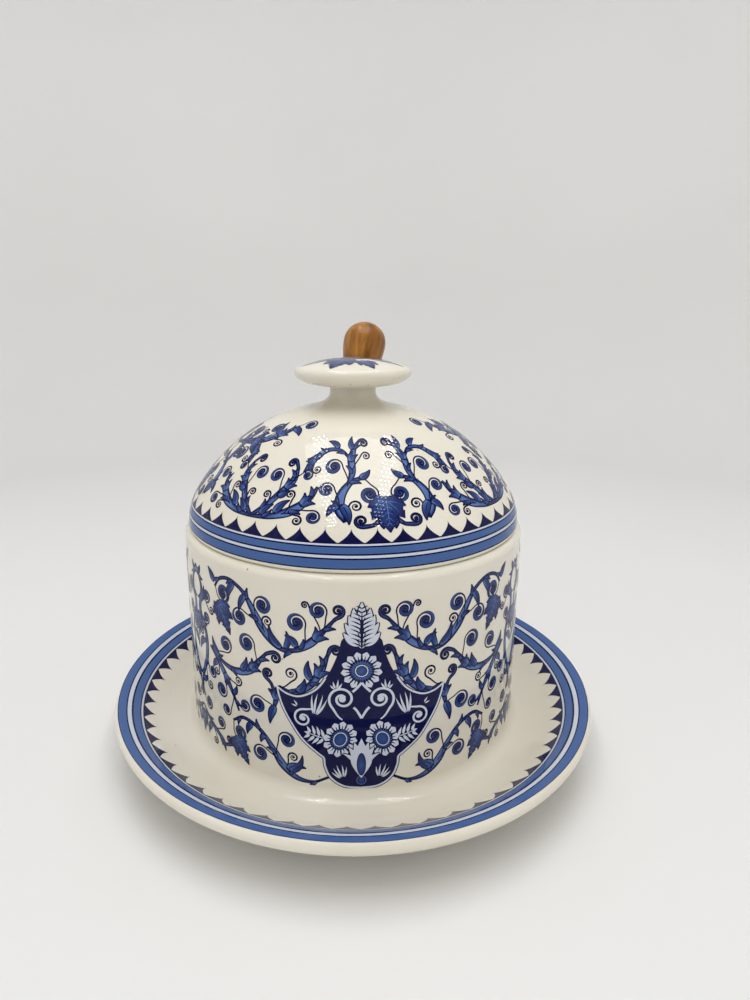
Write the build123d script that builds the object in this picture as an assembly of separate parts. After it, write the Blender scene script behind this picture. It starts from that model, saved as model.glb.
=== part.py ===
"""Round covered butter dish with an attached underplate, a domed lid and a wooden-handled spreader.

The stoneware base is an underplate with a foot ring, and a straight pot wall luted onto its upstand.
The lid is a thrown dome with a locating flange and a neck, and a mushroom knob luted onto the neck.
A notch in the back of the lid lets the spreader stand in the pot with its handle outside.
Units are millimetres, +Z is up, and the origin is the centre of the foot ring on the table.
Points of a turned section are given as (radius, height).
"""

from build123d import *
import math
import os

# ---------------------------------------------------------------- driving dimensions
PLATE_RADIUS = 76.2
RIM_HEIGHT = 17.05
POT_RADIUS = 52.15
POT_WALL = 3.85
SEAT_HEIGHT = 71.8
LID_RADIUS = 50.8
LID_WALL = 3.6
KNOB_RADIUS = 17.7
KNOB_TOP = 121.0
SPREADER_LENGTH = 131.4

# underplate, from the foot ring round the lip to the pot's floor
FOOT_INNER = 42.5
FOOT_OUTER = 47.0
FOOT_RECESS = 4.0
FOOT_DRAFT = 1.2
FOOT_TOP = (48.6, 2.9)
UNDER_WELL = (55.5, 3.9)
UNDER_BEND = (62.5, 6.3)
UNDER_FLARE = (69.0, 9.35)
LIP_FOOT = (75.3, 13.2)
LIP_EDGE = (PLATE_RADIUS, RIM_HEIGHT - 1.25)
LIP_TOP = (75.4, RIM_HEIGHT)
BROW = (71.9, 15.98)
FLARE_END = (68.6, 14.25)
FLARE_START = (64.4, 11.5)
FLARE_ANGLE = 33.4
WELL_HEIGHT = 8.9
UPSTAND_TOP = 12.4
POT_FLOOR = 9.5
FLOOR_FILLET = 2.5

# pot wall
POT_BORE = POT_RADIUS - POT_WALL
OUTER_ROLL = 2.1
INNER_ROLL = 0.9

# lid dome
FLANGE_OUTER = POT_BORE - 0.9
FLANGE_INNER = FLANGE_OUTER - 3.2
FLANGE_LOW = SEAT_HEIGHT - 5.3
FLANGE_BEVEL = 0.8
RIM_FOOT = (49.6, SEAT_HEIGHT)
RIM_CORNER = (50.45, SEAT_HEIGHT + 0.35)
SHOULDER_HEIGHT = 73.0
SHOULDER_RADIUS = 16.6
SHOULDER_TURN = 31.7
CROWN_RADIUS = 55.8
CROWN_END = 77.8
NECK_RADIUS = 7.0
NECK_TOP = 112.0
NECK_STRAIGHT = 0.8
COVE_DROP = 3.1
COVE_FLARE = (2.0, 0.8)

# notch in the lid
NOTCH_HALF_WIDTH = 10.8
NOTCH_HEIGHT = 14.0
NOTCH_ANGLE = 94.4
NOTCH_START = 30.0
NOTCH_DEPTH = 30.0

# lid knob
KNOB_BEAD = (7.2, NECK_TOP + 0.62)
KNOB_FOOT = (7.8, NECK_TOP + 0.7)
KNOB_BEAD_HEIGHT = 0.35
KNOB_RIM = (KNOB_RADIUS, KNOB_TOP - 4.1)
KNOB_UNDER = (16.9, KNOB_TOP - 5.9)
KNOB_SHOULDER = (16.4, KNOB_TOP - 2.5)
KNOB_UNDER_PULLS = [(12.0, NECK_TOP + 0.9), (15.2, NECK_TOP + 1.5)]
KNOB_CROWN_PULLS = [(13.4, KNOB_TOP - 1.4), (7.5, KNOB_TOP)]

# spreader, measured along its own axis from the blade's tip
BACK_LEAN = 0.40
SIDE_LEAN = 0.18
RIM_CROSSING = (-4.6, 45.75, SEAT_HEIGHT)
FLOOR_GAP = 0.2
BLADE_HALF_WIDTH = 7.0
BLADE_SWELL = 0.3
BLADE_MIDDLE = 25.0
BLADE_THICKNESS = 1.3
SHANK_RADIUS = 2.2
SHANK_START = 60.0
SHANK_ROOT = 56.0
NOSE_START = 46.0
FERRULE_START = 82.0
FERRULE_END = 88.0
FERRULE_MOUTH = 3.1
FERRULE_NECK = (3.6, FERRULE_START + 1.6)
FERRULE_WAIST = (3.75, FERRULE_END - 2.2)
FERRULE_RADIUS = 4.4
TANG_RADIUS = 1.7
TANG_END = 114.0
GLUE_GAP = 0.05
HANDLE_FOOT = FERRULE_END + GLUE_GAP
HANDLE_BEVEL = 0.4
HANDLE_SLOPE = 0.3
HANDLE_GRIP = [(4.9, HANDLE_FOOT + 9.0), (5.6, HANDLE_FOOT + 20.0)]
BULB = (8.4, 123.4)
BULB_FULLNESS = 0.52
BULB_CROWN = 0.6
BORE_RELIEF = 0.5


def revolved(outline):
    """A closed outline of edges in the XZ plane, turned once round the Z axis."""
    return revolve(make_face(outline), Axis.Z)


def section(point):
    """A (radius, height) pair as a point of the XZ plane."""
    return (point[0], 0, point[1])


def line(*points):
    """Straight edges through the points of a section."""
    return Polyline(*[section(p) for p in points]).edges()


def arc(start, middle, end):
    """A round edge through three points of a section."""
    return [ThreePointArc(section(start), section(middle), section(end))]


def bezier(*points):
    """A Bezier edge from the first point to the last, pulled by those between."""
    return [Bezier(*[section(p) for p in points])]


def on_circle(centre, radius, degrees):
    """The point of a circle at an angle above the horizontal."""
    angle = math.radians(degrees)
    return (centre[0] + radius * math.cos(angle), centre[1] + radius * math.sin(angle))


def circle_arc(centre, radius, first, last):
    """A round edge between two angles of one circle, with its two end points."""
    start, middle, end = [on_circle(centre, radius, a) for a in (first, (first + last) / 2, last)]
    return arc(start, middle, end), start, end


# ---------------------------------------------------------------- base
def underplate():
    """Flared plate with a foot ring, the pot's floor, and the upstand that carries the wall."""
    cove_radius = UPSTAND_TOP - WELL_HEIGHT
    cove_centre = (POT_RADIUS + cove_radius, UPSTAND_TOP)
    cove, _, well_start = circle_arc(cove_centre, cove_radius, 180, 270)
    well_radius = (FLARE_START[1] - WELL_HEIGHT) / (1 - math.cos(math.radians(FLARE_ANGLE)))
    well_run = well_radius * math.sin(math.radians(FLARE_ANGLE))
    well_centre = (FLARE_START[0] - well_run, WELL_HEIGHT + well_radius)
    well_middle = on_circle(well_centre, well_radius, FLARE_ANGLE / 2 - 90)
    fillet_centre = (POT_BORE - FLOOR_FILLET, POT_FLOOR + FLOOR_FILLET)
    fillet, fillet_low, fillet_high = circle_arc(fillet_centre, FLOOR_FILLET, -90, 0)
    return revolved(
        line((0, POT_FLOOR), fillet_low)
        + fillet
        + line(fillet_high, (POT_BORE, UPSTAND_TOP), (POT_RADIUS, UPSTAND_TOP))
        + cove
        + arc(well_start, well_middle, FLARE_START)
        + line(FLARE_START, FLARE_END)
        + arc(FLARE_END, BROW, LIP_TOP)
        + arc(LIP_TOP, LIP_EDGE, LIP_FOOT)
        + arc(LIP_FOOT, UNDER_FLARE, UNDER_BEND)
        + arc(UNDER_BEND, UNDER_WELL, FOOT_TOP)
        + line(FOOT_TOP, (FOOT_OUTER, 0), (FOOT_INNER, 0), (FOOT_INNER - FOOT_DRAFT, FOOT_RECESS),
               (0, FOOT_RECESS), (0, POT_FLOOR))
    )


def pot_wall():
    """Straight round wall with a rolled outer shoulder, on which the lid sits."""
    outer, outer_low, outer_high = circle_arc(
        (POT_RADIUS - OUTER_ROLL, SEAT_HEIGHT - OUTER_ROLL), OUTER_ROLL, 0, 90)
    inner, inner_high, inner_low = circle_arc(
        (POT_BORE + INNER_ROLL, SEAT_HEIGHT - INNER_ROLL), INNER_ROLL, 90, 180)
    return revolved(
        line((POT_BORE, UPSTAND_TOP), (POT_RADIUS, UPSTAND_TOP), outer_low)
        + outer
        + line(outer_high, inner_high)
        + inner
        + line(inner_low, (POT_BORE, UPSTAND_TOP))
    )


# ---------------------------------------------------------------- lid
def dome_arcs(inset):
    """Shoulder and crown of the dome, moved inwards by inset, with their lowest and highest points.

    The outer face stops at the neck's cove, and an inner face runs on to the axis.
    """
    shoulder_centre = (LID_RADIUS - SHOULDER_RADIUS, SHOULDER_HEIGHT)
    shoulder, low, _ = circle_arc(shoulder_centre, SHOULDER_RADIUS - inset, 0, SHOULDER_TURN)
    crown_centre = on_circle(shoulder_centre, CROWN_RADIUS - SHOULDER_RADIUS, SHOULDER_TURN + 180)
    last = CROWN_END
    if inset > 0:
        last = math.degrees(math.acos(-crown_centre[0] / (CROWN_RADIUS - inset)))
    crown, _, high = circle_arc(crown_centre, CROWN_RADIUS - inset, SHOULDER_TURN, last)
    return shoulder + crown, low, high


def lid_dome():
    """Hollow dome with a locating flange below its seat, a neck above, and a notch at the back."""
    outer, outer_low, outer_high = dome_arcs(0)
    inner, inner_low, inner_high = dome_arcs(LID_WALL)
    cove_top = (NECK_RADIUS, NECK_TOP - NECK_STRAIGHT)
    dome = revolved(
        line((0, NECK_TOP), (NECK_RADIUS, NECK_TOP), cove_top)
        + bezier(cove_top, (NECK_RADIUS, NECK_TOP - COVE_DROP),
                 (NECK_RADIUS + COVE_FLARE[0], outer_high[1] + COVE_FLARE[1]), outer_high)
        + outer
        + arc(RIM_FOOT, RIM_CORNER, outer_low)
        + line(RIM_FOOT, (FLANGE_OUTER, SEAT_HEIGHT), (FLANGE_OUTER, FLANGE_LOW + FLANGE_BEVEL),
               (FLANGE_OUTER - FLANGE_BEVEL, FLANGE_LOW), (FLANGE_INNER, FLANGE_LOW),
               (FLANGE_INNER, SHOULDER_HEIGHT - 0.2), inner_low)
        + inner
        + line(inner_high, (0, NECK_TOP))
    )
    return dome - notch_cutter()


def notch_cutter():
    """Arched prism through the rim and flange at the back, wide enough for the blade."""
    angle = math.radians(NOTCH_ANGLE)
    outward = Vector(math.cos(angle), math.sin(angle), 0)
    across = Vector(-math.sin(angle), math.cos(angle), 0)
    plane = Plane(origin=outward * NOTCH_START + Vector(0, 0, SEAT_HEIGHT), x_dir=across, z_dir=outward)
    spring = NOTCH_HEIGHT - NOTCH_HALF_WIDTH
    low = FLANGE_LOW - SEAT_HEIGHT - 1
    with BuildSketch(plane) as arch:
        with Locations((0, (low + spring) / 2)):
            Rectangle(2 * NOTCH_HALF_WIDTH, spring - low)
        with Locations((0, spring)):
            Circle(NOTCH_HALF_WIDTH)
    return extrude(arch.sketch, NOTCH_DEPTH)


def lid_knob():
    """Mushroom knob: a disc with a rounded rim and a gently crowned top, on a small bead."""
    bead_low = (NECK_RADIUS, NECK_TOP + KNOB_BEAD_HEIGHT)
    top = (0, KNOB_TOP)
    return revolved(
        line(top, (0, NECK_TOP), (NECK_RADIUS, NECK_TOP), bead_low)
        + arc(bead_low, KNOB_BEAD, KNOB_FOOT)
        + bezier(KNOB_FOOT, *KNOB_UNDER_PULLS, KNOB_UNDER)
        + arc(KNOB_UNDER, KNOB_RIM, KNOB_SHOULDER)
        + bezier(KNOB_SHOULDER, *KNOB_CROWN_PULLS, top)
    )


# ---------------------------------------------------------------- spreader
def spreader_plane():
    """Plane at the blade's tip whose Z runs up the spreader, leaning out over the back of the rim."""
    up = Vector(SIDE_LEAN, BACK_LEAN, 1).normalized()
    across = (Vector(1, 0, 0) - up * up.X).normalized()
    lowest = POT_FLOOR + FLOOR_GAP + BLADE_THICKNESS / 2 * math.hypot(up.X, up.Y)
    tip_height = lowest - BLADE_HALF_WIDTH * (up.Z - math.hypot(up.Z, across.Z))
    drop = SEAT_HEIGHT - tip_height
    tip = (RIM_CROSSING[0] - SIDE_LEAN * drop, RIM_CROSSING[1] - BACK_LEAN * drop, tip_height)
    return Plane(origin=tip, x_dir=across, z_dir=up)


def rod(radius, start, end):
    """A round bar along the spreader's axis."""
    bar = Cylinder(radius, end - start, align=(Align.CENTER, Align.CENTER, Align.MIN))
    return Pos(0, 0, start) * bar


def spreader_blade():
    """Flat round-tipped blade that narrows to a round shank, with a tang on into the handle."""
    half = BLADE_HALF_WIDTH
    side = Spline(
        (half, 0, half), (half + BLADE_SWELL, 0, BLADE_MIDDLE), (SHANK_RADIUS, 0, SHANK_START),
        tangents=((0, 0, 1), (0, 0, 1)))
    tip = ThreePointArc((-half, 0, half), (0, 0, 0), (half, 0, half))
    end = Line((SHANK_RADIUS, 0, SHANK_START), (-SHANK_RADIUS, 0, SHANK_START))
    outline = make_face([tip, side, end, mirror(side, Plane.YZ).edge()])
    blade = extrude(outline, BLADE_THICKNESS / 2, both=True)
    nose = Pos(0, 0, NOSE_START) * Cone(
        BLADE_THICKNESS / 2, SHANK_RADIUS, SHANK_ROOT - NOSE_START,
        align=(Align.CENTER, Align.CENTER, Align.MIN))
    shank = rod(SHANK_RADIUS, SHANK_ROOT, FERRULE_END)
    tang = rod(TANG_RADIUS, FERRULE_END, TANG_END)
    return blade + nose + shank + tang


def spreader_ferrule():
    """Turned steel collar over the shank, against the end of the handle."""
    bore = SHANK_RADIUS + GLUE_GAP
    return revolved(
        line((bore, FERRULE_START), (FERRULE_MOUTH, FERRULE_START),
             (FERRULE_MOUTH + 0.4, FERRULE_START + 0.5), FERRULE_NECK)
        + arc(FERRULE_NECK, FERRULE_WAIST, (FERRULE_RADIUS, FERRULE_END))
        + line((FERRULE_RADIUS, FERRULE_END), (bore, FERRULE_END), (bore, FERRULE_START))
    )


def spreader_handle():
    """Turned wooden handle that swells to a round bulb, bored for the tang."""
    bore = TANG_RADIUS + GLUE_GAP
    bevel_top = (FERRULE_RADIUS, HANDLE_FOOT + HANDLE_BEVEL)
    tip = (0, SPREADER_LENGTH)
    bulb_rise = SPREADER_LENGTH - BULB[1]
    grip = Spline(
        section(bevel_top), *[section(p) for p in HANDLE_GRIP], section(BULB),
        tangents=((HANDLE_SLOPE, 0, 1), (0, 0, 1)))
    return revolved(
        line((bore, HANDLE_FOOT), (FERRULE_RADIUS - HANDLE_BEVEL, HANDLE_FOOT), bevel_top)
        + [grip]
        + bezier(BULB, (BULB[0], BULB[1] + BULB_FULLNESS * bulb_rise),
                 (BULB_CROWN * BULB[0], SPREADER_LENGTH), tip)
        + line(tip, (0, TANG_END + BORE_RELIEF), (bore, TANG_END + BORE_RELIEF), (bore, HANDLE_FOOT))
    )


# ---------------------------------------------------------------- write every node
def main():
    stand = spreader_plane().location
    nodes = {
        "underplate": underplate(),
        "pot_wall": pot_wall(),
        "lid_dome": lid_dome(),
        "lid_knob": lid_knob(),
        "spreader_blade": stand * spreader_blade(),
        "spreader_ferrule": stand * spreader_ferrule(),
        "spreader_handle": stand * spreader_handle(),
    }
    os.makedirs("parts", exist_ok=True)
    for name, shape in nodes.items():
        shape.label = name
        export_step(shape, f"parts/{name}.step")


main()
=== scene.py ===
"""Looks of the covered butter dish: glazed bodies, a printed blue scroll pattern, steel and turned wood.

Everything is placed in the CAD frame. Lengths are written in millimetres, and MM turns them into metres.
A point of a turned section is (radius, height). A point of the printed pattern is (across, up).
Azimuths are counted from the front of the dish, which faces -Y, towards +X.
"""

import math
from collections import namedtuple

import bmesh
import bpy
import numpy as np
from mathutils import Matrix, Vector


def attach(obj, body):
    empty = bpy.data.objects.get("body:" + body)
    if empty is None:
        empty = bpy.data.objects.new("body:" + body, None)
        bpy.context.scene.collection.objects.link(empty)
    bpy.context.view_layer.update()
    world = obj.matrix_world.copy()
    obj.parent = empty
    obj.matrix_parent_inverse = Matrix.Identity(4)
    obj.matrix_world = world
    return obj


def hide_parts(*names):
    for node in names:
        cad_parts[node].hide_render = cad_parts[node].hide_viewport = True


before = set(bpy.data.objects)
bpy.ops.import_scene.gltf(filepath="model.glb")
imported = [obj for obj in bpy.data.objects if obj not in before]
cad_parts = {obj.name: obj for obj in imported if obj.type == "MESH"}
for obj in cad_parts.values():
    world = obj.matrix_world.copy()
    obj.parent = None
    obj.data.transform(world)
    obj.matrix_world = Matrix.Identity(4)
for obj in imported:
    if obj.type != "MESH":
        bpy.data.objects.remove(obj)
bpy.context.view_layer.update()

MM = 0.001
SCENE = bpy.context.scene

# ---------------------------------------------------------------- sizes shared with the CAD, in millimetres
PLATE_RADIUS = 76.2
RIM_HEIGHT = 17.05
POT_RADIUS = 52.15
POT_BORE = 48.3
SEAT_HEIGHT = 71.8
UPSTAND_TOP = 12.4
SEAM = [(POT_BORE, UPSTAND_TOP), (POT_RADIUS, UPSTAND_TOP)]
WELL_HEIGHT = 8.9
POT_FLOOR = 9.5
FLOOR_FILLET = 2.5
FLARE_START = (64.4, 11.5)
FLARE_END = (68.6, 14.25)
FLARE_ANGLE = 33.4
BROW = (71.9, 15.98)
LIP_TOP = (75.4, RIM_HEIGHT)
LIP_EDGE = (PLATE_RADIUS, RIM_HEIGHT - 1.25)
LIP_FOOT = (75.3, 13.2)
UNDER_FLARE = (69.0, 9.35)
UNDER_BEND = (62.5, 6.3)
UNDER_WELL = (55.5, 3.9)
FOOT_TOP = (48.6, 2.9)
FOOT_OUTER = 47.0
FOOT_INNER = 42.5
FOOT_RECESS = 4.0
FOOT_DRAFT = 1.2
OUTER_ROLL = 2.1
INNER_ROLL = 0.9

LID_RADIUS = 50.8
LID_WALL = 3.6
SHOULDER_HEIGHT = 73.0
SHOULDER_RADIUS = 16.6
SHOULDER_TURN = 31.7
CROWN_RADIUS = 55.8
CROWN_END = 77.8
RIM_FOOT = (49.6, SEAT_HEIGHT)
RIM_CORNER = (50.45, SEAT_HEIGHT + 0.35)
FLANGE_OUTER = 47.4
FLANGE_INNER = 44.2
FLANGE_LOW = 66.5
FLANGE_BEVEL = 0.8
NECK_RADIUS = 7.0
NECK_TOP = 112.0
NECK_STRAIGHT = 0.8
COVE_DROP = 3.1
COVE_FLARE = (2.0, 0.8)
NOTCH_HALF_WIDTH = 10.8
NOTCH_HEIGHT = 14.0
NOTCH_ANGLE = 94.4
NOTCH_START = 30.0
NOTCH_DEPTH = 30.0
NOTCH_MARGIN = 0.3

KNOB_TOP = 121.0
KNOB_BEAD = (7.2, NECK_TOP + 0.62)
KNOB_FOOT = (7.8, NECK_TOP + 0.7)
KNOB_BEAD_HEIGHT = 0.35
KNOB_RIM = (17.7, KNOB_TOP - 4.1)
KNOB_UNDER = (16.9, KNOB_TOP - 5.9)
KNOB_SHOULDER = (16.4, KNOB_TOP - 2.5)
KNOB_UNDER_PULLS = [(12.0, NECK_TOP + 0.9), (15.2, NECK_TOP + 1.5)]
KNOB_CROWN_PULLS = [(13.4, KNOB_TOP - 1.4), (7.5, KNOB_TOP)]

SPREADER_UP = Vector((0.18, 0.40, 1.0)).normalized()

# how finely the turned bodies are made
BODY_SEGMENTS = 432
KNOB_SEGMENTS = 192
SHARP_TURN = math.radians(28)
GLAZE_ROUNDING = 0.45


# ---------------------------------------------------------------- sections
def arc(centre, radius, first, last, steps=16):
    """Points of a circle between two angles, in degrees above the horizontal."""
    angles = np.radians(np.linspace(first, last, steps + 1))
    return [(centre[0] + radius * math.cos(a), centre[1] + radius * math.sin(a)) for a in angles]


def arc_through(start, middle, end, steps=16):
    """Points of the circle that passes through three points."""
    a, b, c = [np.array(p) for p in (start, middle, end)]
    matrix = 2 * np.array([b - a, c - a])
    centre = np.linalg.solve(matrix, [b @ b - a @ a, c @ c - a @ a])
    angles = np.degrees(np.unwrap([math.atan2(*(p - centre)[::-1]) for p in (a, b, c)]))
    return arc(centre, float(np.linalg.norm(a - centre)), angles[0], angles[2], steps)


def bezier(*pulls, steps=24):
    """Points of a Bezier curve."""
    points = []
    for t in np.linspace(0, 1, steps + 1):
        row = np.array(pulls, float)
        while len(row) > 1:
            row = row[:-1] * (1 - t) + row[1:] * t
        points.append(tuple(row[0]))
    return points


def without_repeats(points):
    """The points, less any that stands on the one before it."""
    kept = [points[0]]
    for point in points[1:]:
        if math.dist(point, kept[-1]) > 1e-3:
            kept.append(point)
    return kept


def soften(outline, closed=False, keep=()):
    """Rounds the sharp corners of an outline as a coat of glaze does, except the corners in keep."""
    outline = without_repeats(outline)
    rounded = []
    for i, corner in enumerate(outline):
        here = Vector(corner)
        before = Vector(outline[i - 1]) - here
        after = Vector(outline[(i + 1) % len(outline)]) - here
        at_end = not closed and i in (0, len(outline) - 1)
        if at_end or corner in keep or math.pi - before.angle(after) < SHARP_TURN:
            rounded.append(corner)
            continue
        reach = min(GLAZE_ROUNDING, 0.45 * before.length, 0.45 * after.length)
        first = here + before.normalized() * reach
        last = here + after.normalized() * reach
        rounded += bezier(first, here, last, steps=4)
    return without_repeats(rounded)


def underplate_well():
    """The plate's upper face from the foot of the pot out to where the flare starts."""
    cove_radius = UPSTAND_TOP - WELL_HEIGHT
    cove = arc((POT_RADIUS + cove_radius, UPSTAND_TOP), cove_radius, 180, 270)
    radius = (FLARE_START[1] - WELL_HEIGHT) / (1 - math.cos(math.radians(FLARE_ANGLE)))
    centre = (FLARE_START[0] - radius * math.sin(math.radians(FLARE_ANGLE)), WELL_HEIGHT + radius)
    return cove + arc(centre, radius, -90, FLARE_ANGLE - 90)


def underplate_flare():
    """The plate's upper face from where the flare starts out to the top of the lip."""
    return [FLARE_START, FLARE_END] + arc_through(FLARE_END, BROW, LIP_TOP)


def underplate_outline():
    """The whole underplate, from the middle of the pot's floor round to the middle of the underside."""
    fillet = arc((POT_BORE - FLOOR_FILLET, POT_FLOOR + FLOOR_FILLET), FLOOR_FILLET, -90, 0, 8)
    outline = (
        [(0, POT_FLOOR)] + fillet + SEAM + underplate_well() + underplate_flare()
        + arc_through(LIP_TOP, LIP_EDGE, LIP_FOOT, 12)
        + arc_through(LIP_FOOT, UNDER_FLARE, UNDER_BEND)
        + arc_through(UNDER_BEND, UNDER_WELL, FOOT_TOP)
        + [(FOOT_OUTER, 0), (FOOT_INNER, 0), (FOOT_INNER - FOOT_DRAFT, FOOT_RECESS), (0, FOOT_RECESS)]
    )
    return soften(outline, keep=SEAM)


def pot_wall_outline():
    """The pot's wall as a closed loop, from the inner seam round over the rim."""
    outer = arc((POT_RADIUS - OUTER_ROLL, SEAT_HEIGHT - OUTER_ROLL), OUTER_ROLL, 0, 90)
    inner = arc((POT_BORE + INNER_ROLL, SEAT_HEIGHT - INNER_ROLL), INNER_ROLL, 90, 180, 10)
    return soften(SEAM + outer + inner, closed=True, keep=SEAM)


def dome_curve(inset):
    """Shoulder and crown of the dome, moved inwards by inset."""
    shoulder_centre = np.array([LID_RADIUS - SHOULDER_RADIUS, SHOULDER_HEIGHT])
    turn = math.radians(SHOULDER_TURN)
    rise = CROWN_RADIUS - SHOULDER_RADIUS
    crown_centre = shoulder_centre - rise * np.array([math.cos(turn), math.sin(turn)])
    last = CROWN_END
    if inset > 0:
        last = math.degrees(math.acos(-crown_centre[0] / (CROWN_RADIUS - inset)))
    shoulder = arc(shoulder_centre, SHOULDER_RADIUS - inset, 0, SHOULDER_TURN, 14)
    return shoulder + arc(crown_centre, CROWN_RADIUS - inset, SHOULDER_TURN, last, 50)[1:]


def lid_dome_outline():
    """The lid without its knob, from the top of the neck down round the rim and up inside."""
    outer = dome_curve(0)
    inner = dome_curve(LID_WALL)
    cove_top = (NECK_RADIUS, NECK_TOP - NECK_STRAIGHT)
    cove = bezier(cove_top, (NECK_RADIUS, NECK_TOP - COVE_DROP),
                  (NECK_RADIUS + COVE_FLARE[0], outer[-1][1] + COVE_FLARE[1]), outer[-1], steps=14)
    neck = (NECK_RADIUS, NECK_TOP)
    outline = (
        [(0, NECK_TOP), neck] + cove + outer[::-1]
        + arc_through(outer[0], RIM_CORNER, RIM_FOOT, 6)
        + [(FLANGE_OUTER, SEAT_HEIGHT), (FLANGE_OUTER, FLANGE_LOW + FLANGE_BEVEL),
           (FLANGE_OUTER - FLANGE_BEVEL, FLANGE_LOW), (FLANGE_INNER, FLANGE_LOW),
           (FLANGE_INNER, SHOULDER_HEIGHT - 0.2)]
        + inner[:-1] + [(0, inner[-1][1])]
    )
    return soften(outline, keep=[neck])


def lid_knob_outline():
    """The knob, from the middle of its top round to the middle of its foot."""
    top = (0, KNOB_TOP)
    bead_low = (NECK_RADIUS, NECK_TOP + KNOB_BEAD_HEIGHT)
    return without_repeats(
        bezier(top, *KNOB_CROWN_PULLS[::-1], KNOB_SHOULDER, steps=30)
        + arc_through(KNOB_SHOULDER, KNOB_RIM, KNOB_UNDER, 12)
        + bezier(KNOB_UNDER, *KNOB_UNDER_PULLS[::-1], KNOB_FOOT)
        + arc_through(KNOB_FOOT, KNOB_BEAD, bead_low, 6)
        + [(NECK_RADIUS, NECK_TOP), (0, NECK_TOP)]
    )


# ---------------------------------------------------------------- meshes
def add_object(name, vertices, faces):
    """A smooth mesh object with its vertices in metres."""
    mesh = bpy.data.meshes.new(name)
    mesh.from_pydata(vertices, [], faces)
    mesh.polygons.foreach_set("use_smooth", [True] * len(mesh.polygons))
    obj = bpy.data.objects.new(name, mesh)
    SCENE.collection.objects.link(obj)
    return obj


def lathe(name, outline, segments, closed=False):
    """An outline of (radius, height) points turned round the dish's axis."""
    angles = np.arange(segments) * 2 * math.pi / segments
    vertices, rings = [], []
    for radius, height in outline:
        start = len(vertices)
        if radius < 1e-6:
            vertices.append((0, 0, height * MM))
            rings.append([start] * segments)
        else:
            vertices += [(radius * math.cos(a) * MM, radius * math.sin(a) * MM, height * MM) for a in angles]
            rings.append(list(range(start, start + segments)))
    if closed:
        rings.append(rings[0])
    faces = []
    for low, high in zip(rings, rings[1:]):
        for i in range(segments):
            j = (i + 1) % segments
            corners = [low[i], low[j], high[j], high[i]]
            faces.append(list(dict.fromkeys(corners)))
    obj = add_object(name, vertices, faces)
    outward(obj)
    return obj


def outward(obj):
    """Turns every face of a closed mesh outwards, and marks its sharp edges."""
    work = bmesh.new()
    work.from_mesh(obj.data)
    bmesh.ops.recalc_face_normals(work, faces=work.faces)
    work.to_mesh(obj.data)
    work.free()
    obj.data.set_sharp_from_angle(angle=SHARP_TURN)


def notch_frame():
    """The notch's horizontal directions: outwards through the wall, and across the opening."""
    angle = math.radians(NOTCH_ANGLE)
    return (np.array([math.cos(angle), math.sin(angle), 0.0]),
            np.array([-math.sin(angle), math.cos(angle), 0.0]))


def clear_of_notch(points):
    """How far points, in millimetres, stand outside the notch and its unprinted edge. Negative is inside."""
    out, across = notch_frame()
    side = np.abs(points @ across)
    above = np.maximum(points[:, 2] - SEAT_HEIGHT - (NOTCH_HEIGHT - NOTCH_HALF_WIDTH), 0)
    distance = np.hypot(side, above) - NOTCH_HALF_WIDTH - NOTCH_MARGIN
    return np.where(points @ out < NOTCH_START, 1e3, distance)


def cut_notch(obj):
    """Cuts the arched notch out of the lid."""
    out, across = notch_frame()
    spring = NOTCH_HEIGHT - NOTCH_HALF_WIDTH
    low = FLANGE_LOW - SEAT_HEIGHT - 1
    arch = [(NOTCH_HALF_WIDTH, low)] + arc((0, spring), NOTCH_HALF_WIDTH, 0, 180, 40)
    arch.append((-NOTCH_HALF_WIDTH, low))
    vertices = []
    for depth in (NOTCH_START, NOTCH_START + NOTCH_DEPTH):
        for side, height in arch:
            vertices.append((out * depth + across * side + [0, 0, SEAT_HEIGHT + height]) * MM)
    count = len(arch)
    faces = [list(range(count)), list(range(count, 2 * count))]
    faces += [[i, (i + 1) % count, count + (i + 1) % count, count + i] for i in range(count)]
    cutter = add_object("notch_cutter", vertices, faces)
    outward(cutter)
    modifier = obj.modifiers.new("notch", "BOOLEAN")
    modifier.operation = "DIFFERENCE"
    modifier.solver = "EXACT"
    modifier.object = cutter
    evaluated = obj.evaluated_get(bpy.context.evaluated_depsgraph_get())
    mesh = bpy.data.meshes.new_from_object(evaluated)
    obj.modifiers.clear()
    obj.data = mesh
    bpy.data.objects.remove(cutter)
    outward(obj)


# ---------------------------------------------------------------- printed shapes
# A print is a grid of (across, up) points in one ink, with a layer and how light the ink is at each point.
Print = namedtuple("Print", "ink layer points shade")
INKS = ("navy", "blue", "pale")
FINE = 0.5
THINNEST = 0.02
OUTLINE = 0.17
BODY_FROM = 0.24


def spline(points, step=FINE):
    """A smooth curve through points, each (across, up, half width)."""
    knots = np.array(points, float)
    knots = np.vstack([2 * knots[0] - knots[1], knots, 2 * knots[-1] - knots[-2]])
    curve = []
    for a, b, c, d in zip(knots, knots[1:], knots[2:], knots[3:]):
        steps = max(2, math.ceil(math.dist(b[:2], c[:2]) / step))
        for t in np.arange(steps) / steps:
            curve.append(0.5 * (2 * b + (c - a) * t + (2 * a - 5 * b + 4 * c - d) * t**2
                                + (3 * b - a - 3 * c + d) * t**3))
    curve.append(knots[-2])
    curve = np.array(curve)
    curve[:, 2] = np.maximum(curve[:, 2], THINNEST)
    return curve


def tangents(path):
    """Unit directions along a path."""
    steps = np.gradient(path[:, :2], axis=0)
    return steps / np.linalg.norm(steps, axis=1, keepdims=True)


def widened(path, extra):
    """A path with extra added to every half width."""
    path = path.copy()
    path[:, 2] = np.maximum(path[:, 2] + extra, THINNEST)
    return path


def lit(points, shade, *where):
    """How light the ink is at each point. A shade is nothing, a number, or a function of where they are."""
    light = np.zeros(points.shape[:2])
    if callable(shade):
        return light + shade(*where)
    return light + (shade or 0)


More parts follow.
